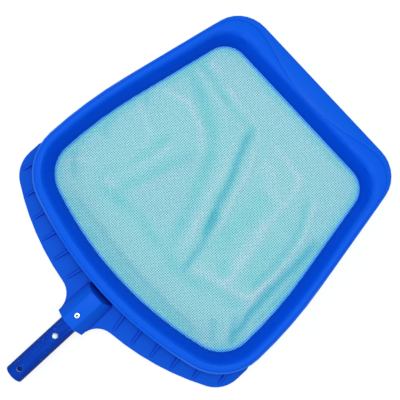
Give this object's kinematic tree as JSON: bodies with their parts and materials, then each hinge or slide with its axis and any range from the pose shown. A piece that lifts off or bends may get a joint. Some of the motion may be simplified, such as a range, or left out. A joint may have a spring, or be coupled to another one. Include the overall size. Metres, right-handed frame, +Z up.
{
  "type": "leaf skimmer net",
  "caption": "Flat leaf skimmer for a pool: a rounded moulded scoop frame with a clamped fine net, a ribbed rear flange, and a short socketed handle tube with snap buttons for a pole.",
  "frame": {"origin": "centre of the outline in plan, on the plane that the frame rests on", "axes": "+Y along the handle towards the front lip, +X across the frame, +Z up out of the scoop"},
  "size_m": [0.434, 0.591, 0.0395],
  "materials": {
    "frame_moulding": "moulded blue plastic, soft gloss",
    "ring_moulding": "moulded blue plastic, soft gloss",
    "net_cloth": "fine woven pale net",
    "tube": "blue anodised",
    "rivet": "bright",
    "mandrel": "plain steel",
    "clip": "white nylon"
  },
  "bodies": {
    "frame": {"lower_frame": "frame_moulding", "clamp_ring": "ring_moulding", "net": "net_cloth", "handle_tube": "tube", "rivet_body": "rivet", "rivet_mandrel": "mandrel", "clip_bend": "clip"},
    "upper_button": {"clip_upper_leg": "clip"},
    "lower_button": {"clip_lower_leg": "clip"}
  },
  "joints": [
    {"name": "upper_button_press", "type": "hinge", "parent": "frame", "child": "upper_button", "pos_m": [0, -0.152, 0.0236], "axis": [1, 0, 0], "range_deg": [0, 5.2], "stiffness_Nm_per_rad": 12, "springref_deg": -2.01},
    {"name": "lower_button_press", "type": "hinge", "parent": "frame", "child": "lower_button", "pos_m": [0, -0.152, 0.0164], "axis": [-1, 0, 0], "range_deg": [0, 5.2], "stiffness_Nm_per_rad": 12, "springref_deg": -2.01}
  ]
}
